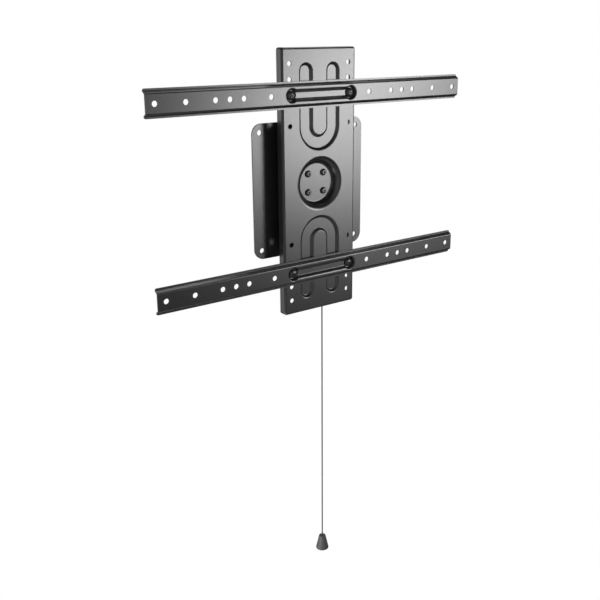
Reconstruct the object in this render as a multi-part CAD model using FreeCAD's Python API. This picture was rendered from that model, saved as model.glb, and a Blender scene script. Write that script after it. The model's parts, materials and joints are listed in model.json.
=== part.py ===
import FreeCAD, Part
import math
import os

V = FreeCAD.Vector

# Rotating wall mount for a screen. Millimetres, X to the right, Y into the wall, Z up.
# The origin is the middle of the four wall holes, on the wall's face.
# "out" is a distance from the wall, so Y = -out. "drop" is a distance below the pivot axis,
# and "rise" a distance above it.

# Wall plate: flat sheet with a round boss drawn out of its middle
wall_hole_spacing = 200.0
wall_hole_d = 9.0
wall_plate_w = 229.0
wall_plate_h = 230.0
wall_plate_t = 3.0
wall_corner_r = 18.0
pivot_rise = 10.0
boss_inner_r = 52.0
boss_slope = 6.0

# Pivot: shaft, plastic bush and the stack that holds the shaft from behind
shaft_r = 15.0
shaft_relief_r = 8.0
shaft_relief_depth = 9.0
bush_wall = 2.0
bush_flange_r = 30.0
bush_flange_t = 2.5
wall_gap = 0.6
shaft_tail = 0.6
ring_t = 1.5
ring_width = 4.4
ring_groove_depth = 0.8
ring_mouth_angle = 26.0
thrust_washer_t = 1.2
rear_washer_t = 1.0
rear_washer_r = 26.0
running_gap = 0.2
seat_gap = 0.1

# Index disc: two lock notches a quarter turn apart, and the slot of the stop pin
disc_r = 52.0
disc_t = 4.0
quarter_turn = 90.0
stop_angle = 135.0
stop_radius = 40.0
stop_pin_d = 7.0
stop_head_d = 11.0
stop_head_t = 1.6
stop_gap = 0.4
lock_gap = 0.4

# Pivot hub flange and its screws
hub_flange_r = 32.0
hub_flange_t = 3.5
hub_chamfer = 1.0
hub_screw_offset = 16.0
hub_screw_d = 6.0
hub_screw_len = 10.0
hub_screw_head_d = 12.0
hub_screw_head_h = 3.6
hub_socket_af = 4.0
hub_socket_depth = 2.0

# Face plate: pressed pan with a round cup at the pivot and two U-shaped grooves
plate_w = 150.0
plate_h = 450.0
plate_t = 2.5
plate_flange = 15.5
plate_bend_r = 3.5
plate_corner_r = 4.5
plate_hole_x = 60.0
plate_hole_rises = [100.0, 150.0, 175.0, 200.0]
plate_hole_d = 8.4
cup_depth = 12.5
cup_mouth_r = 40.8
cup_floor_r = 34.6
cup_mouth_bend_r = 11.0
cup_floor_bend_r = 3.5
groove_leg_x = 27.5
groove_half_w = 13.0
groove_floor_half_w = 9.2
groove_depth = 4.0
groove_mouth_bend_r = 3.0
groove_bend_rise = 97.0
groove_cap_rise = 187.5

# Rails: hat section with sloping sides, and a dog-bone recess where the rail crosses the face plate
rail_len = 630.0
rail_rise = 150.0
rail_h = 43.5
rail_foot_h = 37.2
rail_web_h = 30.4
rail_depth = 8.0
rail_t = 2.0
rail_bend_r = 0.8
rail_lip_corner_r = 3.0
rail_hole_xs = [100.0, 150.0, 175.0, 200.0, 250.0, 300.0]
rail_hole_d = 9.0
pocket_r = 11.6
pocket_floor_r = 9.3
pocket_mouth_bend_r = 2.0
bone_half_w = 9.0
bone_floor_half_w = 4.9
bone_depth = 4.5

# Bends of the pressed recesses, and how far a pressing tool clears the sheet
press_mouth_r = 5.0
press_floor_r = 1.5
press_lead = 0.03
press_lead_run = 8.0

# Rail screws, washers and nuts
rail_screw_d = 8.0
rail_screw_len = 16.0
rail_screw_head_d = 16.0
rail_screw_head_h = 5.2
rail_cross_w = 1.6
rail_cross_len = 7.0
rail_cross_depth = 2.6
rail_washer_d = 16.0
rail_washer_t = 1.6
rail_nut_af = 13.0
rail_nut_h = 6.8
nut_chamfer_h = 0.6
screw_tip_chamfer = 1.0
head_round_share = 0.9

# Lock: plunger, housing, spring and the eye that the cord is tied to
lock_x = 19.0
lock_travel = 8.0
plunger_d = 6.0
plunger_clear = 2.5
plunger_tip = 1.2
plunger_fit = 0.3
housing_gap = 2.0
housing_t = 2.0
housing_w = 18.0
housing_tab_w = 46.0
housing_ear_margin = 4.4
housing_bend_r = 1.0
housing_corner_r = 5.0
rivet_offset = 15.5
rivet_d = 5.0
rivet_head_d = 9.0
rivet_head_h = 2.0
rivet_set = 1.2
clip_stop_gap = 1.0
clip_t = 1.2
clip_d = 9.4
clip_groove_d = 4.6
clip_mouth_angle = 80.0
spring_seat_t = 1.2
spring_seat_d = 9.4
spring_wire_d = 1.0
spring_mean_d = 8.0
spring_turns = 6
spring_drawn_len = 22.0
eye_drop = 4.0
eye_d = 3.5
eye_rim = 2.6
tail_flat_t = 2.6
tail_round_r = 1.5

# Cord and bell
cord_d = 2.5
cord_len = 591.0
loop_r = 3.4
loop_knot_d = 5.0
loop_knot_h = 7.0
bell_top_d = 13.0
bell_bottom_d = 25.2
bell_h = 27.5
bell_edge_r = 0.7
bell_cord_hole_d = 3.1
bell_bore_d = 9.0
bell_bore_depth = 17.0
bell_knot_d = 6.4
bell_knot_h = 6.0
knot_round_share = 0.6

# Stack from the wall outwards
ring_back = wall_gap + shaft_tail
thrust_back = ring_back + ring_t
rear_washer_back = thrust_back + thrust_washer_t + running_gap
boss_h = rear_washer_back + rear_washer_t
boss_front = boss_h + wall_plate_t
bush_front = boss_front + bush_flange_t
disc_back = bush_front + running_gap
disc_front = disc_back + disc_t
cup_back = disc_front + hub_flange_t
cup_floor = cup_back + plate_t
plate_front = cup_floor + cup_depth
plate_back = plate_front - plate_flange
rail_front = plate_front + rail_depth
rail_seat = plate_front + rail_t
washer_front = plate_front - plate_t
nut_front = washer_front - rail_washer_t
nut_back = nut_front - rail_nut_h

# Lock stack downwards from the pivot, with the plunger drawn out of the disc
lock_out = disc_back + disc_t / 2
lock_depth = lock_travel - plunger_clear
disc_edge_drop = math.sqrt(disc_r ** 2 - lock_x ** 2)
tip_drop = disc_edge_drop + plunger_clear
boss_foot_r = boss_inner_r + boss_slope + wall_plate_t
housing_top_drop = boss_foot_r + housing_gap
clip_drop = housing_top_drop + housing_t + lock_travel + clip_stop_gap
seat_drop = clip_drop + clip_t
spring_drop = seat_drop + spring_seat_t
ear_drop = spring_drop + spring_drawn_len
housing_bottom_drop = ear_drop + housing_t
tail_flat_drop = housing_bottom_drop + lock_travel
eye_centre_drop = tail_flat_drop + eye_drop
tail_drop = eye_centre_drop + eye_d / 2 + eye_rim
loop_centre_drop = eye_centre_drop + loop_r
loop_knot_drop = loop_centre_drop + loop_r - cord_d / 2
cord_drop = loop_knot_drop + loop_knot_h
bell_drop = cord_drop + cord_len
bell_bottom_drop = bell_drop + bell_h
bell_roof_drop = bell_bottom_drop - bell_bore_depth

# Places shared by several pieces
sleeve_r = shaft_r + running_gap + bush_wall
groove_r = shaft_r - ring_groove_depth
stop_x = stop_radius * math.cos(math.radians(stop_angle))
stop_z = pivot_rise + stop_radius * math.sin(math.radians(stop_angle))
rivet_xs = [lock_x - rivet_offset, lock_x + rivet_offset]
rivet_z = pivot_rise - (housing_top_drop + housing_bottom_drop) / 2
rail_spots = [(x, pivot_rise + z) for x in (-plate_hole_x, plate_hole_x) for z in (-rail_rise, rail_rise)]
hub_spots = [(x, pivot_rise + z) for x in (-hub_screw_offset, hub_screw_offset)
             for z in (-hub_screw_offset, hub_screw_offset)]
wall_spots = [(x, z) for x in (-wall_hole_spacing / 2, wall_hole_spacing / 2)
              for z in (-wall_hole_spacing / 2, wall_hole_spacing / 2)]
pivot = V(0, 0, pivot_rise)
outwards = V(0, -1, 0)
upwards = V(0, 0, 1)
past = 1.0


def at(x, out, z):
    return V(x, -out, z)


def below(drop):
    return pivot_rise - drop


def corner_wire(corners, place):
    """Closed wire through (u, v, radius) corners, rounded where the radius is not zero."""
    starts = []
    mids = []
    ends = []
    count = len(corners)
    for i in range(count):
        u, v, radius = corners[i]
        before = corners[i - 1]
        after = corners[(i + 1) % count]
        point = V(u, v, 0)
        to_before = (V(before[0], before[1], 0) - point).normalize()
        to_after = (V(after[0], after[1], 0) - point).normalize()
        half = to_before.getAngle(to_after) / 2
        inward = to_before + to_after
        if radius > 0:
            inward.normalize()
        setback = radius / math.tan(half)
        starts.append(point + to_before * setback)
        ends.append(point + to_after * setback)
        mids.append(point + inward * (radius / math.sin(half) - radius))
    edges = []
    for i in range(count):
        onward = starts[(i + 1) % count]
        start, middle, end, following = [place(p.x, p.y) for p in (starts[i], mids[i], ends[i], onward)]
        if corners[i][2] > 0:
            edges.append(Part.Arc(start, middle, end).toShape())
        if end.distanceToPoint(following) > 1e-6:
            edges.append(Part.LineSegment(end, following).toShape())
    return Part.Wire(edges)


def face(corners, place):
    return Part.Face(corner_wire(corners, place))


def flat(corners, out_back, out_front, x=0.0, z=0.0):
    """Sheet parallel to the wall, from an outline in X and Z."""
    blank = face(corners, lambda u, v: at(x + u, out_back, z + v))
    return blank.extrude(at(0, out_front - out_back, 0))


def rectangle(width, height, radius=0.0):
    half_w = width / 2
    half_h = height / 2
    return [(-half_w, -half_h, radius), (half_w, -half_h, radius),
            (half_w, half_h, radius), (-half_w, half_h, radius)]


def hexagon(across_flats):
    corner_r = across_flats / math.sqrt(3)
    angles = [math.radians(a) for a in range(0, 360, 60)]
    return [(corner_r * math.cos(a), corner_r * math.sin(a), 0) for a in angles]


def turned(corners, x=0.0, z=pivot_rise):
    """Body turned about an axis square to the wall, from (radius, out, corner radius) corners."""
    half = face(corners, lambda r, out: at(x + r, out, z))
    return half.revolve(at(x, 0, z), outwards, 360)


def upright(corners):
    """Body turned about the lock's vertical axis, from (radius, drop, corner radius) corners."""
    half = face(corners, lambda r, drop: at(lock_x + r, lock_out, below(drop)))
    return half.revolve(at(lock_x, lock_out, 0), upwards, 360)


def rod(x, z, out_back, out_front, diameter):
    return Part.makeCylinder(diameter / 2, out_front - out_back, at(x, out_back, z), outwards)


def rods(spots, out_back, out_front, diameter):
    return Part.makeCompound([rod(x, z, out_back, out_front, diameter) for x, z in spots])


def post(drop_top, drop_bottom, diameter):
    base = at(lock_x, lock_out, below(drop_bottom))
    return Part.makeCylinder(diameter / 2, drop_bottom - drop_top, base)


def ring(inner_r, outer_r, back, front, x=0.0, z=pivot_rise):
    return turned([(inner_r, back, 0), (outer_r, back, 0), (outer_r, front, 0), (inner_r, front, 0)], x, z)


def void_half(mouth, floor, depth, mouth_bend=press_mouth_r, floor_bend=press_floor_r):
    """Half section of the hollow side of a pressed recess: (half width, depth, corner radius)."""
    return [(0, -press_lead, 0), (mouth + press_lead_run, -press_lead, 0), (mouth, 0, mouth_bend),
            (floor, depth, floor_bend), (0, depth, 0)]


def bump_half(mouth, floor, depth, sheet, mouth_bend=press_mouth_r, floor_bend=press_floor_r):
    """Half section of the raised side of the same recess, one sheet thickness further on."""
    slope = math.hypot(mouth - floor, depth)
    grow = sheet * depth / (slope + mouth - floor)
    edge = mouth + grow
    back_bend = max(mouth_bend - sheet, 0)
    reach = edge + back_bend + sheet / 2
    return [(0, sheet / 2, 0), (reach, sheet / 2, 0), (reach, sheet - press_lead, 0), (edge, sheet, back_bend),
            (floor + grow, depth + sheet, floor_bend + sheet), (0, depth + sheet, 0)]


def both_halves(half):
    side = half[1:-1]
    return side + [(-u, v, r) for u, v, r in reversed(side)]


def from_front(half, front):
    return [(u, front - v, r) for u, v, r in half]


def wall_plate():
    sheet = flat(rectangle(wall_plate_w, wall_plate_h, wall_corner_r), 0, wall_plate_t)
    foot = boss_inner_r + boss_slope
    sheet = sheet.fuse(turned(bump_half(foot, boss_inner_r, boss_h, wall_plate_t)))
    sheet = sheet.cut(turned(void_half(foot, boss_inner_r, boss_h)))
    sheet = sheet.cut(rods(wall_spots, -past, boss_front, wall_hole_d))
    sheet = sheet.cut(rod(0, pivot_rise, 0, boss_front + past, 2 * (sleeve_r + seat_gap)))
    sheet = sheet.cut(rod(stop_x, stop_z, 0, boss_front + past, stop_pin_d))
    for x in rivet_xs:
        sheet = sheet.cut(rod(x, rivet_z, -past, boss_front, rivet_d))
        sheet = sheet.cut(rivet_cone(x))
    return sheet.removeSplitter()


def pivot_bush():
    bore = shaft_r + running_gap
    return turned([(bore, boss_h, 0), (sleeve_r, boss_h, 0), (sleeve_r, boss_front, 0),
                   (bush_flange_r, boss_front, 0), (bush_flange_r, bush_front, 0), (bore, bush_front, 0)])


def rear_washer():
    return ring(shaft_r + running_gap, rear_washer_r, rear_washer_back, boss_h)


def thrust_washer():
    return ring(shaft_r + seat_gap, rear_washer_r, thrust_back, thrust_back + thrust_washer_t)


def retaining_ring():
    outer_r = groove_r + ring_width
    band = ring(groove_r, outer_r, ring_back, ring_back + ring_t)
    reach = 2 * outer_r
    half_mouth = reach * math.tan(math.radians(ring_mouth_angle / 2))
    mouth = [(0, 0, 0), (half_mouth, -reach, 0), (-half_mouth, -reach, 0)]
    return band.cut(flat(mouth, ring_back - past, ring_back + ring_t + past, 0, pivot_rise))


def pivot_hub():
    relief = wall_gap + shaft_relief_depth
    ring_front = ring_back + ring_t
    flange = hub_flange_r
    body = turned([(0, relief, 0), (shaft_relief_r, relief, 0), (shaft_relief_r, wall_gap, 0),
                   (shaft_r, wall_gap, 0), (shaft_r, ring_back, 0), (groove_r, ring_back, 0),
                   (groove_r, ring_front, 0), (shaft_r, ring_front, 0), (shaft_r, disc_front, 0),
                   (flange - hub_chamfer, disc_front, 0), (flange, disc_front + hub_chamfer, 0),
                   (flange, cup_back, 0), (0, cup_back, 0)])
    return body.cut(rods(hub_spots, disc_front - past, cup_back + past, hub_screw_d + 2 * seat_gap))


def index_disc():
    back = disc_back - past
    front = disc_front + past
    disc = ring(shaft_r + seat_gap, disc_r, disc_back, disc_front)
    disc = disc.cut(rods(hub_spots, back, front, hub_screw_d + 2 * seat_gap))
    half_slot = stop_pin_d / 2 + stop_gap
    band = [(stop_radius - half_slot, back, 0), (stop_radius + half_slot, back, 0),
            (stop_radius + half_slot, front, 0), (stop_radius - half_slot, front, 0)]
    slot = face(band, lambda r, out: at(r, out, pivot_rise)).revolve(pivot, outwards, quarter_turn)
    slot.rotate(pivot, outwards, stop_angle)
    slot_end = rod(stop_x, stop_z, back, front, 2 * half_slot)
    half_notch = plunger_d / 2 + lock_gap
    notch_drop = disc_edge_drop - lock_depth - lock_gap
    outline = [(-half_notch, -disc_r, 0), (half_notch, -disc_r, 0),
               (half_notch, -notch_drop, plunger_tip), (-half_notch, -notch_drop, plunger_tip)]
    notch = flat(outline, back, front, lock_x, pivot_rise)
    disc = disc.cut(slot)
    for tool in (slot_end, notch):
        turned_tool = tool.copy()
        turned_tool.rotate(pivot, outwards, quarter_turn)
        disc = disc.cut(tool).cut(turned_tool)
    return disc


def stop_pin():
    foot = boss_h - stop_head_t
    tip = disc_front - stop_gap
    pin_r = stop_pin_d / 2
    head_r = stop_head_d / 2
    return turned([(0, foot, 0), (head_r, foot, stop_head_t / 2), (head_r, boss_h, 0), (pin_r, boss_h, 0),
                   (pin_r, tip, stop_gap), (0, tip, 0)], stop_x, stop_z)


def screw_blank(x, z, seat, diameter, length, head_d, head_h):
    """Round-headed screw. Its head sits at the distance seat from the wall."""
    r = diameter / 2
    head_r = head_d / 2
    tip = seat - length
    top = seat + head_h
    return turned([(0, tip, 0), (r - screw_tip_chamfer, tip, 0), (r, tip + screw_tip_chamfer, 0),
                   (r, seat, 0), (head_r, seat, 0), (head_r, top, head_h * head_round_share),
                   (0, top, 0)], x, z)


def hub_screws():
    top = cup_floor + hub_screw_head_h
    screws = []
    for x, z in hub_spots:
        blank = screw_blank(x, z, cup_floor, hub_screw_d, hub_screw_len,
                            hub_screw_head_d, hub_screw_head_h)
        screws.append(blank.cut(flat(hexagon(hub_socket_af), top - hub_socket_depth, top + past, x, z)))
    return Part.makeCompound(screws)


def rail_screws():
    top = rail_seat + rail_screw_head_h
    bottom = top - rail_cross_depth
    screws = []
    for x, z in rail_spots:
        screw = screw_blank(x, z, rail_seat, rail_screw_d, rail_screw_len,
                            rail_screw_head_d, rail_screw_head_h)
        for width, height in ((rail_cross_len, rail_cross_w), (rail_cross_w, rail_cross_len)):
            screw = screw.cut(flat(rectangle(width, height), bottom, top + past, x, z))
        screws.append(screw)
    return Part.makeCompound(screws)


def rail_washers():
    inner = rail_screw_d / 2 + seat_gap
    outer = rail_washer_d / 2
    return Part.makeCompound([ring(inner, outer, nut_front, washer_front, x, z) for x, z in rail_spots])


def rail_nuts():
    nuts = []
    bore = rail_screw_d / 2 + seat_gap
    flat_r = rail_nut_af / 2
    corner_r = rail_nut_af / math.sqrt(3)
    section = [(bore, nut_back, 0), (flat_r, nut_back, 0), (corner_r, nut_back + nut_chamfer_h, 0),
               (corner_r, nut_front - nut_chamfer_h, 0), (flat_r, nut_front, 0), (bore, nut_front, 0)]
    for x, z in rail_spots:
        prism = flat(hexagon(rail_nut_af), nut_back, nut_front, x, z)
        nuts.append(prism.common(turned(section, x, z)))
    return Part.makeCompound(nuts)


def rim_edges(shape, out):
    return [edge for edge in shape.Edges if all(abs(vertex.Y + out) < 1e-6 for vertex in edge.Vertexes)]


def tray(width, height, corner_r, bend_r, back, front):
    block = flat(rectangle(width, height, corner_r), back, front, 0, pivot_rise)
    return block.makeFillet(bend_r, rim_edges(block, front))


def groove(half):
    """U-shaped groove of the upper half: two legs with round ends and the bend that joins them."""
    bend_z = pivot_rise + groove_bend_rise
    cap_z = pivot_rise + groove_cap_rise
    whole = both_halves(half)
    bend = face(whole, lambda u, v: at(-groove_leg_x + u, plate_front - v, bend_z))
    solids = [bend.revolve(at(0, 0, bend_z), outwards, 180)]
    for x in (-groove_leg_x, groove_leg_x):
        leg = face(whole, lambda u, v: at(x + u, plate_front - v, bend_z))
        cap = face(half, lambda u, v: at(x + u, plate_front - v, cap_z))
        solids.append(leg.extrude(upwards * (cap_z - bend_z)))
        solids.append(cap.revolve(at(x, 0, cap_z), outwards, 180))
    return solids[0].multiFuse(solids[1:]).removeSplitter()


def face_plate():
    sheet = tray(plate_w, plate_h, plate_corner_r, plate_bend_r, plate_back, plate_front)
    hollow = tray(plate_w - 2 * plate_t, plate_h - 2 * plate_t, plate_corner_r - plate_t,
                  plate_bend_r - plate_t, plate_back - past, plate_front - plate_t)
    sheet = sheet.cut(hollow)
    cup_bump = bump_half(cup_mouth_r, cup_floor_r, cup_depth, plate_t, cup_mouth_bend_r, cup_floor_bend_r)
    cup_void = void_half(cup_mouth_r, cup_floor_r, cup_depth, cup_mouth_bend_r, cup_floor_bend_r)
    groove_bump = groove(bump_half(groove_half_w, groove_floor_half_w, groove_depth, plate_t, groove_mouth_bend_r))
    groove_void = groove(void_half(groove_half_w, groove_floor_half_w, groove_depth, groove_mouth_bend_r))
    for bump in (groove_bump, groove_bump.mirror(pivot, upwards), turned(from_front(cup_bump, plate_front))):
        sheet = sheet.fuse(bump)
    for void in (groove_void, groove_void.mirror(pivot, upwards), turned(from_front(cup_void, plate_front))):
        sheet = sheet.cut(void)
    hole_spots = [(x, pivot_rise + side * rise) for x in (-plate_hole_x, plate_hole_x)
                  for rise in plate_hole_rises for side in (-1, 1)]
    sheet = sheet.cut(rods(hole_spots, plate_back, plate_front + past, plate_hole_d))
    sheet = sheet.cut(rods(hub_spots, cup_back - past, plate_front, hub_screw_d + 2 * running_gap))
    return sheet.removeSplitter()


def rail(rise):
    z0 = pivot_rise + rise
    lip = rail_h / 2
    foot = rail_foot_h / 2
    web = rail_web_h / 2
    roof = rail_depth - rail_t
    grow = rail_t * roof / (math.hypot(foot - web, roof) + foot - web)
    bend_out = rail_bend_r + rail_t
    hat = [(0, -lip, 0), (0, grow - foot, bend_out), (roof, grow - web, rail_bend_r),
           (roof, web - grow, rail_bend_r), (0, foot - grow, bend_out), (0, lip, 0),
           (rail_t, lip, 0), (rail_t, foot, rail_bend_r), (rail_depth, web, bend_out),
           (rail_depth, -web, bend_out), (rail_t, -foot, rail_bend_r), (rail_t, -lip, 0)]
    section = face(hat, lambda out, v: at(-rail_len / 2, plate_front + out, z0 + v))
    body = section.extrude(V(rail_len, 0, 0))
    outline = rectangle(rail_len, rail_h, rail_lip_corner_r)
    body = body.common(flat(outline, plate_front, rail_front, 0, z0))
    bumps = dog_bone(bump_half(pocket_r, pocket_floor_r, roof, rail_t, pocket_mouth_bend_r),
                     bump_half(bone_half_w, bone_floor_half_w, bone_depth, rail_t), z0)
    voids = dog_bone(void_half(pocket_r, pocket_floor_r, roof, pocket_mouth_bend_r),
                     void_half(bone_half_w, bone_floor_half_w, bone_depth), z0)
    for bump in bumps:
        body = body.fuse(bump)
    for void in voids:
        body = body.cut(void)
    screen_spots = [(side * x, z0) for x in rail_hole_xs for side in (-1, 1)]
    screw_spots = [(-plate_hole_x, z0), (plate_hole_x, z0)]
    body = body.cut(rods(screen_spots, plate_front, rail_front + past, rail_hole_d))
    body = body.cut(rods(screw_spots, plate_front - past, rail_front, plate_hole_d))
    return body.removeSplitter()


def dog_bone(pocket, bone, z0):
    """Two round pockets over the plate's screw holes and the groove between them."""
    slot = face(both_halves(bone), lambda u, v: at(-plate_hole_x, rail_front - v, z0 + u))
    ends = [turned(from_front(pocket, rail_front), x, z0) for x in (-plate_hole_x, plate_hole_x)]
    return ends + [slot.extrude(V(2 * plate_hole_x, 0, 0))]


def rivet_cone(x):
    """Cone in the wall side of the wall plate, which the rivet's tail fills."""
    r = rivet_d / 2
    return turned([(0, 0, 0), (r + rivet_set, 0, 0), (r, rivet_set, 0), (0, rivet_set, 0)], x, rivet_z)


def lock_rivets():
    rivets = []
    r = rivet_d / 2
    head_r = rivet_head_d / 2
    seat = wall_plate_t + housing_t
    top = seat + rivet_head_h
    for x in rivet_xs:
        rivet = turned([(0, 0, 0), (r, 0, 0), (r, seat, 0), (head_r, seat, 0),
                        (head_r, top, rivet_head_h * head_round_share), (0, top, 0)], x, rivet_z)
        rivets.append(rivet.fuse(rivet_cone(x)).removeSplitter())
    return Part.makeCompound(rivets)


def lock_housing():
    back = wall_plate_t
    web_front = back + housing_t
    ear_front = lock_out + housing_ear_margin
    top = housing_top_drop
    bottom = housing_bottom_drop
    half_w = housing_w / 2
    bend_out = housing_bend_r + housing_t
    channel = [(back, top, bend_out), (ear_front, top, 0), (ear_front, top + housing_t, 0),
               (web_front, top + housing_t, housing_bend_r), (web_front, ear_drop, housing_bend_r),
               (ear_front, ear_drop, 0), (ear_front, bottom, 0), (back, bottom, bend_out)]
    side = face(channel, lambda out, drop: at(lock_x - half_w, out, below(drop)))
    plan = face([(-half_w, back, 0), (half_w, back, 0), (half_w, ear_front, housing_corner_r),
                 (-half_w, ear_front, housing_corner_r)], lambda u, out: at(lock_x + u, out, below(bottom)))
    body = side.extrude(V(housing_w, 0, 0)).common(plan.extrude(upwards * (bottom - top)))
    tab_h = bottom - top - 2 * bend_out
    tab = rectangle(housing_tab_w, tab_h, housing_corner_r)
    body = body.fuse(flat(tab, back, web_front, lock_x, rivet_z))
    body = body.cut(post(top - past, bottom + past, plunger_d + 2 * plunger_fit))
    rivet_spots = [(x, rivet_z) for x in rivet_xs]
    return body.cut(rods(rivet_spots, back - past, web_front + past, rivet_d)).removeSplitter()


def lock_plunger():
    r = plunger_d / 2
    clip_r = clip_groove_d / 2
    body = upright([(0, tip_drop, 0), (r - plunger_tip, tip_drop, 0), (r, tip_drop + plunger_tip, 0),
                    (r, clip_drop, 0), (clip_r, clip_drop, 0), (clip_r, seat_drop, 0), (r, seat_drop, 0),
                    (r, tail_drop, tail_round_r), (0, tail_drop, 0)])
    half_flat = tail_flat_t / 2
    for near, far in ((-plunger_d, -half_flat), (half_flat, plunger_d)):
        slab = Part.makeBox(plunger_d, far - near, tail_drop - tail_flat_drop,
                            at(lock_x - r, lock_out + far, below(tail_drop)))
        body = body.cut(slab)
    return body.cut(rod(lock_x, below(eye_centre_drop), lock_out - plunger_d, lock_out + plunger_d, eye_d))


def plunger_clip():
    inner = clip_groove_d / 2
    outer = clip_d / 2
    band = upright([(inner, clip_drop, 0), (outer, clip_drop, 0), (outer, seat_drop, 0),
                    (inner, seat_drop, 0)])
    half_mouth = clip_d * math.tan(math.radians(clip_mouth_angle / 2))
    mouth = face([(0, 0, 0), (half_mouth, clip_d, 0), (-half_mouth, clip_d, 0)],
                 lambda u, v: at(lock_x + u, lock_out + v, below(seat_drop)))
    return band.cut(mouth.extrude(upwards * clip_t))


def spring_seat():
    inner = plunger_d / 2 + seat_gap
    outer = spring_seat_d / 2
    return upright([(inner, seat_drop, 0), (outer, seat_drop, 0), (outer, spring_drop, 0),
                    (inner, spring_drop, 0)])


def lock_spring():
    """Coil between the washer under the clip and the lower ear of the housing."""
    wire_r = spring_wire_d / 2
    mean_r = spring_mean_d / 2
    rise = spring_drawn_len - spring_wire_d
    helix = Part.makeHelix(rise / spring_turns, rise, mean_r)
    section = Part.Wire(Part.makeCircle(wire_r, V(mean_r, 0, 0), V(0, 1, 0)))
    coil = Part.Wire(helix.Edges).makePipeShell([section], True, True)
    coil.translate(at(lock_x, lock_out, below(ear_drop) + wire_r))
    return coil


def knot(top, diameter, height):
    r = diameter / 2
    bottom = top + height
    soft = r * knot_round_share
    return upright([(0, top, 0), (r, top, soft), (r, bottom, soft), (0, bottom, 0)])


def cord_loop():
    """Loop of cord through the plunger's eye, closed by a knot below it."""
    loop = Part.makeTorus(loop_r, cord_d / 2, at(lock_x, lock_out, below(loop_centre_drop)), V(1, 0, 0))
    return loop.fuse(knot(loop_knot_drop, loop_knot_d, loop_knot_h))


def pull_cord():
    return post(cord_drop, bell_roof_drop, cord_d)


def pull_bell():
    bore = bell_bore_d / 2
    hole = bell_cord_hole_d / 2
    return upright([(hole, bell_drop, 0), (bell_top_d / 2, bell_drop, bell_edge_r),
                    (bell_bottom_d / 2, bell_bottom_drop, bell_edge_r), (bore, bell_bottom_drop, 0),
                    (bore, bell_roof_drop, 0), (hole, bell_roof_drop, 0)])


def bell_knot():
    return knot(bell_roof_drop, bell_knot_d, bell_knot_h)


pieces = {
    "wall_plate": wall_plate(),
    "pivot_bush": pivot_bush(),
    "rear_washer": rear_washer(),
    "stop_pin": stop_pin(),
    "lock_housing": lock_housing(),
    "lock_rivets": lock_rivets(),
    "lock_spring": lock_spring(),
    "face_plate": face_plate(),
    "pivot_hub": pivot_hub(),
    "index_disc": index_disc(),
    "hub_screws": hub_screws(),
    "thrust_washer": thrust_washer(),
    "retaining_ring": retaining_ring(),
    "rail_upper": rail(rail_rise),
    "rail_lower": rail(-rail_rise),
    "rail_screws": rail_screws(),
    "rail_washers": rail_washers(),
    "rail_nuts": rail_nuts(),
    "lock_plunger": lock_plunger(),
    "plunger_clip": plunger_clip(),
    "spring_seat": spring_seat(),
    "cord_loop": cord_loop(),
    "pull_cord": pull_cord(),
    "pull_bell": pull_bell(),
    "bell_knot": bell_knot(),
}

os.makedirs("parts", exist_ok=True)
for name, shape in pieces.items():
    shape.exportStep("parts/" + name + ".step")
    print(name, len(shape.Solids), "solids", round(shape.Volume, 1), "mm3", "valid", shape.isValid())
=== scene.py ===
import json
import math
from collections import namedtuple

import bmesh
import bpy
from mathutils import Matrix, Quaternion, Vector


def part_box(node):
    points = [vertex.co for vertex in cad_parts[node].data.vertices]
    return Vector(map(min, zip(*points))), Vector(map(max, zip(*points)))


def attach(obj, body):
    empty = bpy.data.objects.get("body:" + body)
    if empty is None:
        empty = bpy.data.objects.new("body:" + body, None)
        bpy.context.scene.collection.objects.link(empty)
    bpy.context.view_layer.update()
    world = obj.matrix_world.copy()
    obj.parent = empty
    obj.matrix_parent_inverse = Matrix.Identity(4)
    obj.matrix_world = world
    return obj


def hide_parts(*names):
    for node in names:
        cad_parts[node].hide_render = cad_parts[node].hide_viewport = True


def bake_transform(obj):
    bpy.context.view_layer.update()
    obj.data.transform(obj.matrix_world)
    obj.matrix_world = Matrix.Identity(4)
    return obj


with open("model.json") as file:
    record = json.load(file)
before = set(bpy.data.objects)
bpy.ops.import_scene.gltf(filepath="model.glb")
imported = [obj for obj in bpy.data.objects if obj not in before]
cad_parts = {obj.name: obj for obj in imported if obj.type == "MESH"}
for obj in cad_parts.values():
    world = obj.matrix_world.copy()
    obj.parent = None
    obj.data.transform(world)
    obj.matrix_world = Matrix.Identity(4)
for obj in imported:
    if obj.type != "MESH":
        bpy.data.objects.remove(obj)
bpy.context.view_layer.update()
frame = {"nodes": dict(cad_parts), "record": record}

# Rotating screen mount, in metres. X to the right, Y into the wall, Z up, origin on the wall's face.
MM = 0.001

# Camera, solved from the rail holes of the photograph with its axis held near the middle of the picture
PHOTO_PX = 600.0
FOCAL_PX = 806.57
AXIS_RIGHT_OF_MIDDLE_PX = 26.0
AXIS_ABOVE_MIDDLE_PX = 30.0
CAMERA_PLACE = Vector((-0.80778, -1.13240, 0.26426))
CAMERA_YAW = math.radians(36.752)
CAMERA_PITCH = math.radians(16.696)
CAMERA_ROLL = math.radians(-0.003)
CAMERA_NEAR = 0.01
CAMERA_FAR = 100.0
SENSOR_WIDTH_MM = 36.0

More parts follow.
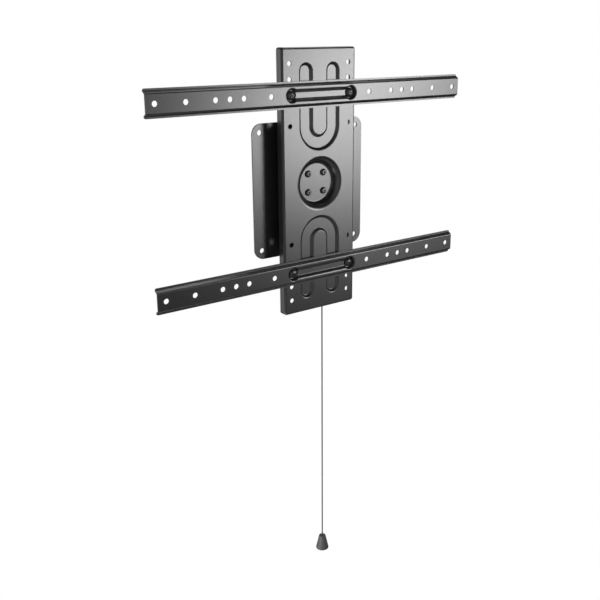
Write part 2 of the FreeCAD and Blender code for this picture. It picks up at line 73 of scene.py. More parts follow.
# Lamps, each aimed at the middle of a node. Azimuth 0 is straight in front, and 90 degrees is to the right.
# Fades are the shares of a lamp's length and width over which it dims towards each end.
Lamp = namedtuple("Lamp", "aim azimuth elevation distance size roll radiance fades")
LAMPS = {
    # A slanted strip to the right gives the plate and the rails their tones
    "key": Lamp(aim="pivot_hub", azimuth=math.radians(38.9), elevation=0.0, distance=2.54,
                size=(1.16, 1.08), roll=math.radians(53.0), radiance=16.8, fades=(0.13, 0.5)),
    # Weaker lamps behind and overhead light the upper edges
    "rim": Lamp(aim="pivot_hub", azimuth=math.radians(135.0), elevation=math.radians(45.0), distance=2.0,
                size=(1.2, 1.2), roll=0.0, radiance=2.8, fades=(0.3, 0.3)),
    "top": Lamp(aim="pivot_hub", azimuth=math.radians(97.0), elevation=math.radians(66.0), distance=2.0,
                size=(0.9, 0.9), roll=0.0, radiance=5.0, fades=(0.3, 0.3)),
    # A small lamp stands close to the bell, on its left
    "side": Lamp(aim="pull_bell", azimuth=math.radians(-85.0), elevation=math.radians(10.0), distance=0.5,
                 size=(0.3, 0.3), roll=0.0, radiance=24.0, fades=(0.3, 0.3)),
}

# Surroundings: soft light from all round, and what reflections see.
# Each edge is a pair of shares of a ray's direction along X, Y or Z, between which the brightness changes.
AMBIENT_LEFT = 0.40
AMBIENT_RIGHT = 0.10
AMBIENT_EDGE_X = (-1.0, 1.0)
BACKDROP_EDGE_Y = (0.2, 0.5)
CARD_WHITE = 0.65
CARD_EDGE_X = (-0.8, -0.5)
CARD_EDGE_Y = (-0.45, -0.15)
HORIZON_EDGE_Z = (0.2, 0.6)
FILL_GREY = 0.45
FILL_EDGE_X = (-0.3, 0.1)
FILL_EDGE_Y = (-0.7, -0.3)
STUDIO_DARK = 0.02
FLOOR_Z = -1.45
FLOOR_RADIUS = 0.9
FLOOR_SIDES = 96
FLOOR_WHITE = 0.86
FLOOR_GLOW = 0.75

# Range that holds most of a noise texture's values
NOISE_SPAN = (0.3, 0.7)

# Cord and its knots. KNOT_LIE is the share of its radius that a cord keeps where a knot presses it.
CORD_DIAMETER = 2.5 * MM
CORD_STRAIGHT_END = 6 * CORD_DIAMETER
CORD_STEP = 0.6 * MM
CORD_SIDES = 20
BRAID_STRANDS = 4
BRAID_PITCH = 9.0 * MM
BRAID_RELIEF = 0.16
KNOT_STEP = CORD_STEP / 2
KNOT_LIE = 0.82
LOOP_START = math.radians(-62.0)
LOOP_END = math.radians(242.0)
LOOP_STEPS = 40
LOOP_KNOT_DIAMETER = 5.0 * MM
LOOP_KNOT_WRAPS = 4.0
LOOP_WRAP_SWELL = 1.15
LOOP_WRAP_STEPS = 40
END_KNOT_STEPS = 160
END_TAIL_BOW = 1.5
END_TAIL_DROP = 3

# Lock spring. Its height is averaged over the ease turns, so that the pitch changes smoothly.
SPRING_WIRE_DIAMETER = 1.0 * MM
SPRING_TURNS = 7.5
SPRING_CLOSED_TURNS = 1.0
SPRING_GROUND_SHARE = 0.25
SPRING_EASE_TURNS = (-0.2, -0.1, 0.0, 0.1, 0.2)
SPRING_STEPS_PER_TURN = 36
SPRING_SIDES = 14

# Rail screws: thread, pan head and cross recess. The crest and flank are shares of half a pitch.
SCREW_PITCH = 1.25 * MM
SCREW_DIAMETER = 8.0 * MM
SCREW_THREAD_DEPTH = 0.68 * MM
SCREW_CREST_SHARE = 0.125
SCREW_FLANK_SHARE = 0.625
SCREW_TIP_CHAMFER = 1.0 * MM
SCREW_ROWS_PER_TURN = 10
SCREW_SIDES = 64
SCREW_HEAD_DIAMETER = 16.0 * MM
SCREW_HEAD_HEIGHT = 5.2 * MM
SCREW_HEAD_SKIRT = 0.5 * MM
SCREW_HEAD_EDGE = 0.15 * MM
SCREW_DOME_STEPS = 14
SCREW_DOME_WIDTH_POWER = 0.7
SCREW_DOME_HEIGHT_POWER = 1.1
SCREW_CROSS_REACH = 3.5 * MM
SCREW_CROSS_WIDTH = 1.6 * MM
SCREW_CROSS_DEPTH = 2.6 * MM
SCREW_CROSS_TAPER = 0.45
SCREW_CROSS_OVERCUT = 0.5 * MM
SCREW_TURN_STEP_RAD = 0.55
SCREW_SHARP_ANGLE = math.radians(40.0)


def node(name):
    return frame["nodes"][name]


def centre(name):
    low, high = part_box(name)
    return (low + high) / 2


def direction(azimuth, elevation):
    """Unit vector from the mount: azimuth to the right of straight in front, and elevation upwards."""
    return Vector((math.sin(azimuth) * math.cos(elevation),
                   -math.cos(azimuth) * math.cos(elevation), math.sin(elevation)))


def link(obj):
    bpy.context.scene.collection.objects.link(obj)
    return obj


def mesh_object(name, verts, faces):
    mesh = bpy.data.meshes.new(name)
    mesh.from_pydata(verts, [], faces)
    mesh.validate()
    mesh.shade_smooth()
    return link(bpy.data.objects.new(name, mesh))


# Camera


def make_camera():
    data = bpy.data.cameras.new("camera")
    data.sensor_width = SENSOR_WIDTH_MM
    data.lens = SENSOR_WIDTH_MM * FOCAL_PX / PHOTO_PX
    data.shift_x = -AXIS_RIGHT_OF_MIDDLE_PX / PHOTO_PX
    data.shift_y = -AXIS_ABOVE_MIDDLE_PX / PHOTO_PX
    data.clip_start = CAMERA_NEAR
    data.clip_end = CAMERA_FAR
    forward = Vector((math.sin(CAMERA_YAW) * math.cos(CAMERA_PITCH),
                      math.cos(CAMERA_YAW) * math.cos(CAMERA_PITCH), -math.sin(CAMERA_PITCH)))
    level = Vector((math.cos(CAMERA_YAW), -math.sin(CAMERA_YAW), 0.0))
    right = Matrix.Rotation(-CAMERA_ROLL, 3, forward) @ level
    up = right.cross(forward)
    camera = link(bpy.data.objects.new("camera", data))
    turn = Matrix((right, up, -forward)).transposed()
    camera.matrix_world = Matrix.Translation(CAMERA_PLACE) @ turn.to_4x4()
    bpy.context.scene.camera = camera


# Materials


class Nodes:
    """Short ways to add to a node tree."""

    def __init__(self, tree):
        self.tree = tree

    def set(self, shader_node, values):
        for name, value in values.items():
            socket = shader_node.inputs[name]
            if isinstance(value, bpy.types.NodeSocket):
                self.tree.links.new(value, socket)
            else:
                socket.default_value = value

    def add(self, kind, values=None, **settings):
        made = self.tree.nodes.new(kind)
        for name, value in settings.items():
            setattr(made, name, value)
        self.set(made, values or {})
        return made

    def math(self, operation, first, second=0.0):
        return self.add("ShaderNodeMath", {0: first, 1: second}, operation=operation).outputs[0]

    def mix(self, share, first, second):
        """Number between first and second. The sockets of a Mix node share names, so they go by place."""
        return self.add("ShaderNodeMix", {0: share, 2: first, 3: second}).outputs[0]

    def spread(self, value, low, high, span=NOISE_SPAN, kind="LINEAR"):
        """Value mapped from the span on to low..high."""
        made = self.add("ShaderNodeMapRange", {"Value": value, "From Min": span[0], "From Max": span[1],
                                               "To Min": low, "To Max": high}, interpolation_type=kind)
        return made.outputs["Result"]

    def fade(self, share, end):
        """One in the middle of a share that runs from 0 to 1, and none at its ends."""
        rise = self.spread(share, 0.0, 1.0, (0.0, end), "SMOOTHSTEP")
        fall = self.spread(share, 1.0, 0.0, (1.0 - end, 1.0), "SMOOTHSTEP")
        return self.math("MULTIPLY", rise, fall)


class Shader(Nodes):
    """Node tree of a material with one principled surface."""

    def __init__(self, name, colour, roughness, metallic=0.0):
        self.material = bpy.data.materials.new(name)
        self.material.use_nodes = True
        super().__init__(self.material.node_tree)
        self.surface = self.tree.nodes["Principled BSDF"]
        self.set(self.surface, {"Base Color": (*colour, 1.0), "Roughness": roughness, "Metallic": metallic})
        self.place = self.add("ShaderNodeTexCoord").outputs["Object"]

    def noise(self, size, detail=2.0, stretch=(1.0, 1.0, 1.0), place=None):
        """Noise with features of about the given size, in metres."""
        mapped = self.add("ShaderNodeMapping", {"Vector": place or self.place, "Scale": stretch})
        made = self.add("ShaderNodeTexNoise", {"Vector": mapped.outputs["Vector"], "Scale": 1.0 / size,
                                               "Detail": detail})
        return made.outputs["Fac"]

    def tint(self, value, dark, light):
        """Base colour between dark and light. The Mix node's colour sockets go by place, too."""
        share = self.spread(value, 0.0, 1.0)
        made = self.add("ShaderNodeMix", data_type="RGBA")
        self.set(made, {0: share, 6: (*dark, 1.0), 7: (*light, 1.0)})
        self.set(self.surface, {"Base Color": made.outputs[2]})

    def bumps(self, heights):
        """Stacked bumps from (height, strength, depth) rows."""
        normal = None
        for height, strength, depth in heights:
            made = self.add("ShaderNodeBump", {"Height": height, "Strength": strength, "Distance": depth})
            if normal:
                self.set(made, {"Normal": normal})
            normal = made.outputs["Normal"]
        self.set(self.surface, {"Normal": normal})


def black_coat():
    """Fine-grained powder coat: soft pebbles about half a millimetre wide over a slow orange peel."""
    shader = Shader("black_coat", (0.014, 0.014, 0.015), 0.32)
    grain = shader.noise(size=0.45 * MM, detail=3.0)
    peel = shader.noise(size=3.0 * MM, detail=1.0)
    patches = shader.noise(size=30.0 * MM, detail=3.0)
    shader.tint(patches, dark=(0.012, 0.012, 0.013), light=(0.017, 0.017, 0.018))
    shader.set(shader.surface, {"Roughness": shader.spread(grain, 0.29, 0.36), "Specular IOR Level": 1.0})
    shader.bumps([(peel, 0.10, 0.05 * MM), (grain, 0.18, 0.02 * MM)])
    return shader.material


def black_screw():
    """Black zinc on steel: as dark as the coat, with faint marks of the heading tool."""
    shader = Shader("black_screw", (0.016, 0.016, 0.017), 0.30)
    marks = shader.noise(size=0.8 * MM, detail=4.0)
    shader.tint(marks, dark=(0.013, 0.013, 0.014), light=(0.020, 0.020, 0.021))
    shader.set(shader.surface, {"Roughness": shader.spread(marks, 0.30, 0.40), "Specular IOR Level": 0.9})
    shader.bumps([(marks, 0.08, 0.03 * MM)])
    return shader.material


def zinc():
    """Bright zinc plate with a cloudy, slightly blue surface."""
    shader = Shader("zinc", (0.62, 0.63, 0.65), 0.34, metallic=1.0)
    clouds = shader.noise(size=4.0 * MM, detail=5.0)
    grain = shader.noise(size=0.35 * MM)
    shader.tint(clouds, dark=(0.52, 0.53, 0.56), light=(0.68, 0.69, 0.70))
    shader.set(shader.surface, {"Roughness": shader.spread(clouds, 0.26, 0.42)})
    shader.bumps([(grain, 0.10, 0.02 * MM)])
    return shader.material


def turned_steel():
    """Turned steel: fine tool rings, from a noise over the distance from the pivot's axis."""
    shader = Shader("turned_steel", (0.50, 0.50, 0.52), 0.30, metallic=1.0)
    parts = shader.add("ShaderNodeSeparateXYZ", {"Vector": shader.place})
    above_axis = shader.math("ADD", parts.outputs["Z"], -centre("pivot_hub").z)
    off_axis = shader.add("ShaderNodeCombineXYZ", {"X": parts.outputs["X"], "Y": above_axis})
    radius = shader.add("ShaderNodeVectorMath", {0: off_axis.outputs[0]}, operation="LENGTH")
    turned = shader.add("ShaderNodeCombineXYZ", {"X": radius.outputs["Value"], "Y": parts.outputs["Y"]})
    rings = shader.noise(size=0.3 * MM, place=turned.outputs[0])
    shader.tint(rings, dark=(0.44, 0.44, 0.46), light=(0.56, 0.56, 0.57))
    shader.set(shader.surface, {"Roughness": shader.spread(rings, 0.22, 0.38)})
    shader.bumps([(rings, 0.12, 0.02 * MM)])
    return shader.material


def spring_steel():
    """Drawn steel wire: darker than the turned steel, with streaks."""
    shader = Shader("spring_steel", (0.30, 0.30, 0.32), 0.32, metallic=1.0)
    streaks = shader.noise(size=0.5 * MM, detail=3.0, stretch=(1.0, 1.0, 0.2))
    shader.tint(streaks, dark=(0.24, 0.24, 0.25), light=(0.36, 0.36, 0.38))
    shader.set(shader.surface, {"Roughness": shader.spread(streaks, 0.25, 0.40)})
    shader.bumps([(streaks, 0.08, 0.02 * MM)])
    return shader.material


def bearing_plastic():
    """Natural acetal: off-white and a little translucent."""
    shader = Shader("bearing_plastic", (0.75, 0.74, 0.70), 0.42)
    mottle = shader.noise(size=6.0 * MM)
    grain = shader.noise(size=0.4 * MM)
    shader.tint(mottle, dark=(0.71, 0.70, 0.66), light=(0.78, 0.77, 0.73))
    shader.set(shader.surface, {"Subsurface Weight": 0.15,
                                "Subsurface Radius": (2.0 * MM, 2.0 * MM, 1.5 * MM),
                                "Roughness": shader.spread(grain, 0.38, 0.48)})
    shader.bumps([(grain, 0.06, 0.02 * MM)])
    return shader.material


def cord_fibre():
    """Polyester cord: matt fibres with a soft sheen, finer than the strands of the braid."""
    shader = Shader("cord", (0.027, 0.027, 0.027), 0.75)
    fibres = shader.noise(size=0.12 * MM, detail=3.0, stretch=(1.0, 1.0, 0.15))
    shader.tint(fibres, dark=(0.018, 0.018, 0.018), light=(0.036, 0.036, 0.036))
    shader.set(shader.surface, {"Sheen Weight": 0.15, "Sheen Roughness": 0.4})
    shader.bumps([(fibres, 0.5, 0.05 * MM)])
    return shader.material


def bell_plastic():
    """Moulded plastic with the fine spark-eroded grain of its mould."""
    shader = Shader("bell_plastic", (0.058, 0.058, 0.060), 0.48)
    grain = shader.noise(size=0.35 * MM, detail=3.0)
    flow = shader.noise(size=6.0 * MM, detail=3.0, stretch=(1.0, 1.0, 0.4))
    shader.tint(flow, dark=(0.051, 0.051, 0.053), light=(0.065, 0.065, 0.067))
    shader.set(shader.surface, {"Roughness": shader.spread(grain, 0.42, 0.54), "Specular IOR Level": 0.4})
    shader.bumps([(grain, 0.22, 0.03 * MM)])
    return shader.material


MATERIALS = {
    "black_coat": black_coat(),
    "black_screw": black_screw(),
    "zinc": zinc(),
    "turned_steel": turned_steel(),
    "spring_steel": spring_steel(),
    "bearing_plastic": bearing_plastic(),
    "cord": cord_fibre(),
    "bell_plastic": bell_plastic(),
}


def dress_cad_nodes():
    for part in frame["record"]["subparts"]:
        node(part["node"]).material_slots[0].material = MATERIALS[part["material_slot"]]


def dress_piece(obj, slot, replaced):
    """Gives a mesh its finish and hides the CAD node that it replaces."""
    obj.data.materials.append(MATERIALS[slot])
    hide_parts(replaced)


# Tubes


def tube_rings(points, sides, radius_at, closed=False):
    """Rings of vertices along a line of points. radius_at(travel, angle) gives the surface."""
    count = len(points)
    travel = 0.0
    normal = None
    verts = []
    for i, point in enumerate(points):
        before = points[i - 1] if closed or i > 0 else point
        after = points[(i + 1) % count] if closed or i < count - 1 else point
        tangent = (after - before).normalized()
        if normal is None:
            normal = tangent.orthogonal()
        normal = (normal - tangent * normal.dot(tangent)).normalized()
        across = tangent.cross(normal)
        if i > 0:
            travel += (point - points[i - 1]).length
        for k in range(sides):
            angle = 2 * math.pi * k / sides
            reach = radius_at(travel, angle)
            verts.append(point + (normal * math.cos(angle) + across * math.sin(angle)) * reach)
    return verts


def tube_faces(count, sides, closed=False, first=0):
    """Faces between rings that start at vertex first, with end caps unless the tube is closed."""
    faces = []
    for i in range(count if closed else count - 1):
        for k in range(sides):
            low = first + i * sides
            high = first + ((i + 1) % count) * sides
            after = (k + 1) % sides
            faces.append((low + k, low + after, high + after, high + k))
    if not closed:
        last = first + (count - 1) * sides
        faces.append(tuple(range(first + sides - 1, first - 1, -1)))
        faces.append(tuple(range(last, last + sides)))
    return faces


def braid_radius(radius):
    """Surface of a round braid: two sets of strands that wind opposite ways."""
    def radius_at(travel, angle):
        turn = 2 * math.pi * travel / BRAID_PITCH
        one_way = math.cos(BRAID_STRANDS * (angle + turn))
        other_way = math.cos(BRAID_STRANDS * (angle - turn))
        return radius * (1.0 - BRAID_RELIEF / 2 + BRAID_RELIEF / 2 * max(one_way, other_way))
    return radius_at


def even_points(points, step):
    """Points at equal steps along a line of points."""
    lengths = [0.0]
    for before, after in zip(points, points[1:]):
        lengths.append(lengths[-1] + (after - before).length)
    count = max(2, round(lengths[-1] / step) + 1)
    found = []
    i = 0
    for k in range(count):
        wanted = lengths[-1] * k / (count - 1)
        while i < len(points) - 2 and lengths[i + 1] < wanted:
            i += 1
        share = (wanted - lengths[i]) / (lengths[i + 1] - lengths[i])
        found.append(points[i].lerp(points[i + 1], share))
    return found


def helix(middle, radius, low, high, turns, steps_per_turn):
    """Points of an upright helix round the line through middle, from the height low to high."""
    count = round(turns * steps_per_turn) + 1
    points = []
    for i in range(count):
        share = i / (count - 1)
        angle = 2 * math.pi * turns * share
        points.append(Vector((middle.x + radius * math.cos(angle), middle.y + radius * math.sin(angle),
                              low + (high - low) * share)))
    return points


def route_points(route):
    """Points of the smooth line that the route's own points control."""
    curve = bpy.data.curves.new("route", "CURVE")
    curve.dimensions = "3D"
    spline = curve.splines.new("NURBS")
    spline.points.add(len(route) - 1)
    for place, point in zip(spline.points, route):
        place.co = (*point, 1.0)
    spline.order_u = 3
    spline.use_endpoint_u = True
    obj = link(bpy.data.objects.new("route", curve))
    mesh = bpy.data.meshes.new_from_object(obj)
    points = [v.co.copy() for v in mesh.vertices]
    bpy.data.objects.remove(obj)
    bpy.data.meshes.remove(mesh)
    return points


# Cord, from the knot under the plunger's eye to the roof of the bell's bore


def cord_piece(name, replaced, strands):
    """One mesh of braided cords, from (line, radius, closed) rows, that slides with the lock."""
    verts = []
    faces = []
    for line, radius, closed in strands:
        first = len(verts)
        verts += tube_rings(line, CORD_SIDES, braid_radius(radius), closed)
        faces += tube_faces(len(line), CORD_SIDES, closed, first)
    piece = mesh_object(name, verts, faces)
    dress_piece(piece, "cord", replaced)
    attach(piece, "lock_pull")
    return piece


def pull_cord():
    low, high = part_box("pull_cord")
    x, y = centre("pull_cord").xy
    route = [Vector((x, y, high.z)), Vector((x, y, high.z - CORD_STRAIGHT_END)),
             Vector((x, y, low.z + CORD_STRAIGHT_END)), Vector((x, y, low.z))]
    line = even_points(route_points(route), CORD_STEP)
    cord = cord_piece("braided_cord", "pull_cord", [(line, CORD_DIAMETER / 2, False)])
    return cord, line


def tied_loop():
    """Loop through the plunger's eye, and the wraps that tie it to the cord."""
    low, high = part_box("cord_loop")
    middle = centre("cord_loop")
    cord_r = CORD_DIAMETER / 2
    loop_r = (high.y - low.y) / 2 - cord_r
    loop_z = high.z - cord_r - loop_r
    knot_top = loop_z - loop_r + cord_r
    leg = cord_r * KNOT_LIE

    def place(beside, height):
        return Vector((middle.x, middle.y + beside, height))

    loop = [place(leg, low.z + cord_r), place(leg, knot_top)]
    for i in range(LOOP_STEPS + 1):
        angle = LOOP_START + (LOOP_END - LOOP_START) * i / LOOP_STEPS
        loop.append(place(loop_r * math.cos(angle), loop_z + loop_r * math.sin(angle)))
    loop += [place(-leg, knot_top), place(-leg, low.z + cord_r)]
    wrap_r = (knot_top - low.z) / (2 * LOOP_KNOT_WRAPS + 2)
    wraps = helix(middle, LOOP_KNOT_DIAMETER / 2 - wrap_r, low.z + wrap_r, knot_top - wrap_r,
                  LOOP_KNOT_WRAPS, LOOP_WRAP_STEPS)
    return cord_piece("tied_loop", "cord_loop", [
        (even_points(loop, KNOT_STEP), cord_r, False),
        (even_points(wraps, KNOT_STEP), wrap_r * LOOP_WRAP_SWELL, False)])


def end_knot():
    """Overhand knot under the roof of the bell's bore: a trefoil, drawn tight, with a short tail."""
    low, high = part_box("bell_knot")
    middle = centre("bell_knot")
    cord_r = CORD_DIAMETER / 2 * KNOT_LIE
    reach = ((high.x - low.x) / 2 - cord_r) / 3
    lift = (high.z - low.z) / 2 - cord_r
    knot = []
    for i in range(END_KNOT_STEPS):
        t = 2 * math.pi * i / END_KNOT_STEPS
        knot.append(middle + Vector((reach * (math.sin(t) + 2 * math.sin(2 * t)),
                                     reach * (math.cos(t) - 2 * math.cos(2 * t)), -lift * math.sin(3 * t))))
    tail = [middle + Vector((reach, -reach, 0.0)),
            Vector((middle.x + END_TAIL_BOW * reach, middle.y - reach, low.z - cord_r)),
            Vector((middle.x + reach, middle.y - reach, low.z - END_TAIL_DROP * cord_r))]
    return cord_piece("end_knot", "bell_knot", [
        (knot, cord_r, True),
        (even_points(tail, KNOT_STEP), cord_r, False)])


# Lock spring


def coil_spring():
    """Compression spring with a closed turn and a ground face at each end."""
    low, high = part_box("lock_spring")
    middle = centre("lock_spring")
    wire_r = SPRING_WIRE_DIAMETER / 2
    mean_r = (high.x - low.x) / 2 - wire_r
    end_lift = wire_r * 2 * SPRING_GROUND_SHARE
    bottom = low.z + end_lift
    top = high.z - end_lift
    closed_rise = SPRING_WIRE_DIAMETER * SPRING_CLOSED_TURNS
    open_turns = SPRING_TURNS - 2 * SPRING_CLOSED_TURNS
    open_pitch = (top - bottom - 2 * closed_rise) / open_turns

    def height(turn):
        into_open = min(max(turn - SPRING_CLOSED_TURNS, 0.0), open_turns)
        return bottom + (turn - into_open) * SPRING_WIRE_DIAMETER + into_open * open_pitch

    def eased_height(turn):
        near = [height(min(max(turn + shift, 0.0), SPRING_TURNS)) for shift in SPRING_EASE_TURNS]
        return sum(near) / len(near)

    line = []
    for i in range(round(SPRING_TURNS * SPRING_STEPS_PER_TURN) + 1):
        turn = i / SPRING_STEPS_PER_TURN
        angle = 2 * math.pi * turn
        line.append(Vector((middle.x + mean_r * math.cos(angle), middle.y + mean_r * math.sin(angle),
                            eased_height(turn))))
    verts = tube_rings(line, SPRING_SIDES, lambda travel, angle: wire_r)
    for vert in verts:
        vert.z = min(max(vert.z, low.z), high.z)
    coil = mesh_object("coil_spring", verts, tube_faces(len(line), SPRING_SIDES))
    dress_piece(coil, "spring_steel", "lock_spring")
    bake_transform(coil)


# Rail screws


def thread_radius(phase):
    """Radius of the thread's flank, crest or root at a phase of one turn."""
    from_crest = abs((phase % 1.0) - 0.5) * 2
    share = min(max((from_crest - SCREW_CREST_SHARE) / SCREW_FLANK_SHARE, 0.0), 1.0)
    return SCREW_DIAMETER / 2 - SCREW_THREAD_DEPTH * share


def screw_thread(length):
    """Shank from the head's seat at height 0 down to the tip."""
    rows = round(length / SCREW_PITCH * SCREW_ROWS_PER_TURN)
    verts = []
    for i in range(rows + 1):
        drop = length * i / rows
        for k in range(SCREW_SIDES):
            share = k / SCREW_SIDES
            radius = thread_radius(drop / SCREW_PITCH - share)
            radius = min(radius, SCREW_DIAMETER / 2 - SCREW_TIP_CHAMFER + length - drop)
            angle = 2 * math.pi * share
            verts.append(Vector((radius * math.cos(angle), radius * math.sin(angle), -drop)))
    return verts, tube_faces(rows + 1, SCREW_SIDES)


def screw_head():
    """Pan head: a short upright skirt under a dome."""
    head_r = SCREW_HEAD_DIAMETER / 2
    dome = SCREW_HEAD_HEIGHT - SCREW_HEAD_SKIRT
    profile = [(SCREW_DIAMETER / 2, 0.0), (head_r - SCREW_HEAD_EDGE, 0.0), (head_r, SCREW_HEAD_EDGE)]
    for i in range(SCREW_DOME_STEPS):
        angle = math.pi / 2 * i / SCREW_DOME_STEPS
        profile.append((head_r * math.cos(angle) ** SCREW_DOME_WIDTH_POWER,
                        SCREW_HEAD_SKIRT + dome * math.sin(angle) ** SCREW_DOME_HEIGHT_POWER))
    verts = []
    for radius, height in profile:
        for k in range(SCREW_SIDES):
            angle = 2 * math.pi * k / SCREW_SIDES
            verts.append(Vector((radius * math.cos(angle), radius * math.sin(angle), height)))
    return verts, tube_faces(len(profile), SCREW_SIDES)


def cross_tool():
    """Tapered cross that cuts the recess of a screw head."""
    outline = []
    half = SCREW_CROSS_WIDTH / 2
    for quarter in range(4):
        angle = math.pi / 2 * quarter
        along = Vector((math.cos(angle), math.sin(angle), 0.0))
        side = Vector((-math.sin(angle), math.cos(angle), 0.0))
        outline += [along * SCREW_CROSS_REACH - side * half, along * SCREW_CROSS_REACH + side * half,
                    along * half + side * half]
    top = Vector((0.0, 0.0, SCREW_HEAD_HEIGHT + SCREW_CROSS_OVERCUT))
    bottom = Vector((0.0, 0.0, SCREW_HEAD_HEIGHT - SCREW_CROSS_DEPTH))
    verts = [point * SCREW_CROSS_TAPER + bottom for point in outline] + [point + top for point in outline]
    return verts, tube_faces(2, len(outline))


def cut(obj, tool):
    """Takes tool out of obj and leaves obj as a plain mesh."""
    modifier = obj.modifiers.new("cut", "BOOLEAN")
    modifier.operation = "DIFFERENCE"
    modifier.object = tool
    depsgraph = bpy.context.evaluated_depsgraph_get()
    mesh = bpy.data.meshes.new_from_object(obj.evaluated_get(depsgraph))
    obj.modifiers.clear()
    obj.data = mesh
    bpy.data.objects.remove(tool)


def joined_mesh(name, meshes):
    joined = bmesh.new()
    for mesh in meshes:
        joined.from_mesh(mesh)
    made = bpy.data.meshes.new(name)
    joined.to_mesh(made)
    joined.free()
    return made


def one_screw(length):
    """Mesh of a screw whose head stands up from height 0, with the shank below it."""
    head = mesh_object("screw_head", *screw_head())
    cut(head, mesh_object("cross_tool", *cross_tool()))
    shank = mesh_object("screw_shank", *screw_thread(length))
    screw = joined_mesh("screw", [head.data, shank.data])
    for source in (head, shank):
        bpy.data.objects.remove(source)
    return screw


def rail_screws():
    """Four screws, each stopped at another turn."""
    low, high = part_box("rail_screws")
    screw = one_screw(high.y - low.y - SCREW_HEAD_HEIGHT)
    outwards = Matrix.Rotation(math.pi / 2, 4, "X")
    reach = SCREW_HEAD_DIAMETER / 2
    turn = 0.0
    copies = []
    for x in (low.x + reach, high.x - reach):
        for z in (low.z + reach, high.z - reach):
            seat = Matrix.Translation((x, low.y + SCREW_HEAD_HEIGHT, z))
            copy = screw.copy()
            copy.transform(seat @ outwards @ Matrix.Rotation(turn, 4, "Z"))
            copies.append(copy)
            turn += SCREW_TURN_STEP_RAD
    mesh = joined_mesh("cross_screws", copies)
    for copy in copies:
        bpy.data.meshes.remove(copy)
    mesh.shade_smooth()
    mesh.set_sharp_from_angle(angle=SCREW_SHARP_ANGLE)
    screws = link(bpy.data.objects.new("cross_screws", mesh))
    dress_piece(screws, "black_screw", "rail_screws")
    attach(screws, "turning_side")


# Studio


def make_floor():
    bpy.ops.mesh.primitive_circle_add(vertices=FLOOR_SIDES, radius=FLOOR_RADIUS, fill_type="NGON",
                                      location=(0, 0, FLOOR_Z))
    floor = bpy.context.object
    floor.name = "floor"
    material = bpy.data.materials.new("floor")
    material.use_nodes = True
    nodes = Nodes(material.node_tree)
    nodes.tree.nodes.clear()
    path = nodes.add("ShaderNodeLightPath")
    pale = nodes.add("ShaderNodeBsdfDiffuse", {"Color": (FLOOR_WHITE, FLOOR_WHITE, FLOOR_WHITE, 1.0)})
    seen = nodes.math("MULTIPLY", path.outputs["Is Camera Ray"], FLOOR_GLOW)
    glow = nodes.add("ShaderNodeEmission", {"Strength": seen})
    both = nodes.add("ShaderNodeAddShader", {0: pale.outputs[0], 1: glow.outputs[0]})
    nodes.add("ShaderNodeOutputMaterial", {"Surface": both.outputs[0]})
    floor.data.materials.append(material)


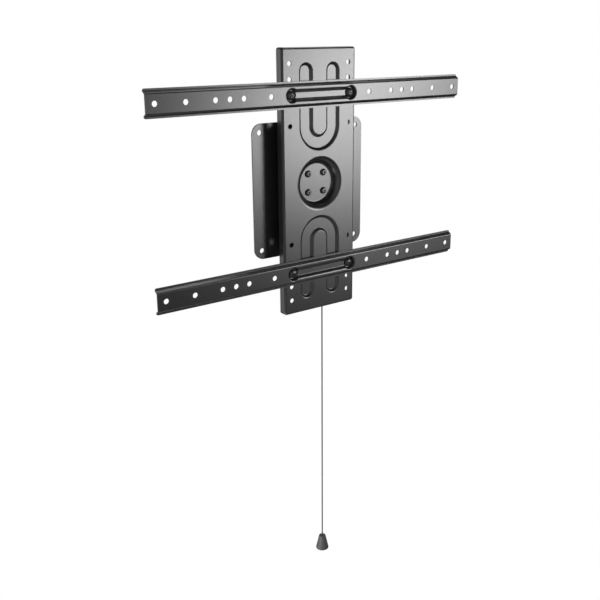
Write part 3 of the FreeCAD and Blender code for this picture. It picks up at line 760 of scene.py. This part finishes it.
def make_world():
    """White to the viewer. Reflections see a backdrop, a card on the left and a faint fill in front."""
    world = bpy.data.worlds.new("studio")
    bpy.context.scene.world = world
    world.use_nodes = True
    nodes = Nodes(world.node_tree)
    nodes.tree.nodes.clear()
    place = nodes.add("ShaderNodeTexCoord").outputs["Generated"]
    ray = nodes.add("ShaderNodeSeparateXYZ", {"Vector": place}).outputs
    backdrop = nodes.spread(ray["Y"], 0.0, 1.0, BACKDROP_EDGE_Y)
    card_left = nodes.spread(ray["X"], CARD_WHITE, 0.0, CARD_EDGE_X)
    card_front = nodes.spread(ray["Y"], 1.0, 0.0, CARD_EDGE_Y)
    card = nodes.math("MULTIPLY", card_left, card_front)
    level = nodes.spread(nodes.math("ABSOLUTE", ray["Z"]), 1.0, 0.0, HORIZON_EDGE_Z)
    white = nodes.math("MULTIPLY", nodes.math("MAXIMUM", backdrop, card), level)
    fill_front = nodes.spread(ray["Y"], FILL_GREY, 0.0, FILL_EDGE_Y)
    fill_left = nodes.spread(ray["X"], 1.0, 0.0, FILL_EDGE_X)
    fill = nodes.math("MULTIPLY", fill_front, fill_left)
    studio = nodes.math("MAXIMUM", nodes.math("MAXIMUM", white, fill), STUDIO_DARK)
    ambient = nodes.spread(ray["X"], AMBIENT_LEFT, AMBIENT_RIGHT, AMBIENT_EDGE_X)
    path = nodes.add("ShaderNodeLightPath").outputs
    mirror = nodes.math("MAXIMUM", path["Is Glossy Ray"], path["Is Transmission Ray"])
    seen = nodes.mix(path["Is Camera Ray"], nodes.mix(mirror, ambient, studio), 1.0)
    background = nodes.add("ShaderNodeBackground", {"Color": (1.0, 1.0, 1.0, 1.0), "Strength": seen})
    nodes.add("ShaderNodeOutputWorld", {"Surface": background.outputs[0]})


def make_lamp(name, lamp):
    """Soft panel that faces the node it is aimed at and dims towards its edges."""
    length, width = lamp.size
    data = bpy.data.lights.new(name, "AREA")
    data.shape = "RECTANGLE"
    data.size = length
    data.size_y = width
    data.energy = lamp.radiance * math.pi * length * width
    data.use_nodes = True
    nodes = Nodes(data.node_tree)
    nodes.tree.nodes.clear()
    place = nodes.add("ShaderNodeNewGeometry").outputs["Parametric"]
    shares = nodes.add("ShaderNodeSeparateXYZ", {"Vector": place}).outputs
    fade_along, fade_across = lamp.fades
    along = nodes.fade(shares["X"], fade_along)
    across = nodes.fade(shares["Y"], fade_across)
    glow = nodes.add("ShaderNodeEmission", {"Strength": nodes.math("MULTIPLY", along, across)})
    nodes.add("ShaderNodeOutputLight", {"Surface": glow.outputs[0]})
    panel = link(bpy.data.objects.new(name, data))
    towards = direction(lamp.azimuth, lamp.elevation)
    panel.location = centre(lamp.aim) + towards * lamp.distance
    panel.rotation_mode = "QUATERNION"
    panel.rotation_quaternion = towards.to_track_quat("Z", "Y") @ Quaternion((0.0, 0.0, 1.0), lamp.roll)
    panel.visible_camera = False


make_camera()
dress_cad_nodes()
cord, cord_line = pull_cord()
loop = tied_loop()
knot = end_knot()
coil_spring()
rail_screws()
make_floor()
make_world()
for lamp_name, lamp_facts in LAMPS.items():
    make_lamp(lamp_name, lamp_facts)

bpy.context.scene.view_settings.view_transform = "Standard"
